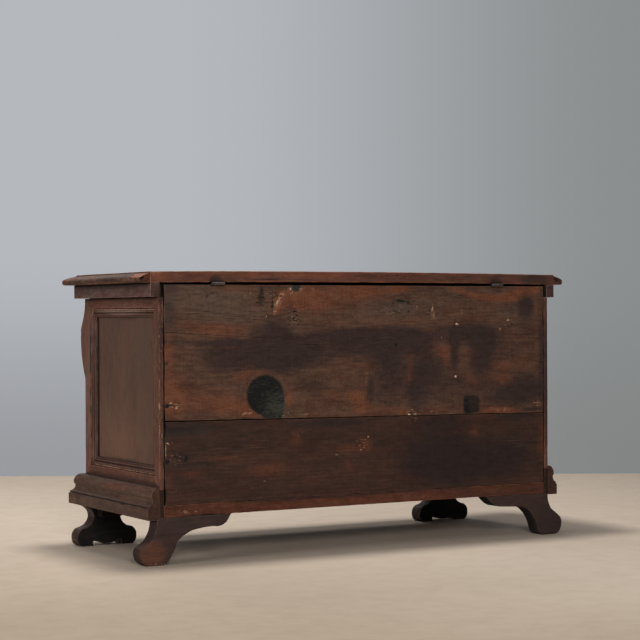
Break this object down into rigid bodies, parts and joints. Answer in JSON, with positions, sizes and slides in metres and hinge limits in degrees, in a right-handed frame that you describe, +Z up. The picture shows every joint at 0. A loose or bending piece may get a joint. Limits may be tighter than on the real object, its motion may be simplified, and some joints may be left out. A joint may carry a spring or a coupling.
{
  "type": "cassone",
  "caption": "Free-standing walnut chest with a hinged lid, framed ends, moulded plinth, corner consoles and sawn plank feet.",
  "frame": {"origin": "on the ground, below the middle of the chest's outer box", "axes": "+X towards the right end of the chest, as for a person who faces its front; -Y out of the front, +Y out of the back with the hinges; +Z up"},
  "size_m": [1.3061, 0.5245, 0.733],
  "materials": {
    "back_planks": "old walnut planks, stained and unpolished",
    "inner_softwood": "unpolished plank, reddish brown",
    "foot_walnut": "dark worn walnut",
    "plinth_walnut": "dusty waxed walnut",
    "lid_walnut": "waxed walnut, red brown",
    "lid_trim_walnut": "dusty waxed walnut",
    "field_walnut": "waxed walnut, vertical grain",
    "moulding_walnut": "waxed walnut mouldings",
    "frame_walnut": "waxed walnut, red brown",
    "wrought_iron": "black wrought iron"
  },
  "bodies": {
    "case": {"back_lower_board": "back_planks", "back_upper_board": "back_planks", "bottom_front_board": "inner_softwood", "bottom_rear_board": "inner_softwood", "front_board": "field_walnut", "front_bottom_rail": "frame_walnut", "front_left_foot": "foot_walnut", "front_left_foot_block": "inner_softwood", "front_left_panel_moulding": "moulding_walnut", "front_left_stile": "frame_walnut", "front_middle_stile": "frame_walnut", "front_plinth": "plinth_walnut", "front_plinth_packing": "inner_softwood", "front_right_foot": "foot_walnut", "front_right_foot_block": "inner_softwood", "front_right_panel_moulding": "moulding_walnut", "front_right_stile": "frame_walnut", "front_top_rail": "frame_walnut", "left_console": "moulding_walnut", "left_end_board": "field_walnut", "left_end_bottom_rail": "frame_walnut", "left_end_front_stile": "frame_walnut", "left_end_panel_moulding": "moulding_walnut", "left_end_rear_stile": "frame_walnut", "left_end_top_rail": "frame_walnut", "left_hinge_back_strap": "wrought_iron", "left_hinge_pin": "wrought_iron", "left_plinth": "plinth_walnut", "left_plinth_packing": "inner_softwood", "lock_case": "wrought_iron", "rear_left_foot": "foot_walnut", "rear_left_foot_block": "inner_softwood", "rear_right_foot": "foot_walnut", "rear_right_foot_block": "inner_softwood", "right_console": "moulding_walnut", "right_end_board": "field_walnut", "right_end_bottom_rail": "frame_walnut", "right_end_front_stile": "frame_walnut", "right_end_panel_moulding": "moulding_walnut", "right_end_rear_stile": "frame_walnut", "right_end_top_rail": "frame_walnut", "right_hinge_back_strap": "wrought_iron", "right_hinge_pin": "wrought_iron", "right_plinth": "plinth_walnut", "right_plinth_packing": "inner_softwood"},
    "lid": {"left_hinge_lid_strap": "wrought_iron", "lid_front_board": "lid_walnut", "lid_front_moulding": "lid_trim_walnut", "lid_left_cleat": "lid_trim_walnut", "lid_left_moulding": "lid_trim_walnut", "lid_rear_board": "lid_walnut", "lid_right_cleat": "lid_trim_walnut", "lid_right_moulding": "lid_trim_walnut", "lock_staple": "wrought_iron", "right_hinge_lid_strap": "wrought_iron"},
    "lock_bolt": {"lock_bolt": "wrought_iron"}
  },
  "joints": [
    {"name": "lid_hinge", "type": "hinge", "parent": "case", "child": "lid", "pos_m": [0, 0.25775, 0.6995], "axis": [-1, 0, 0], "range_deg": [0, 100]},
    {"name": "lock_bolt_slide", "type": "slide", "parent": "case", "child": "lock_bolt", "axis": [1, 0, 0], "range_m": [0, 0.012]}
  ]
}
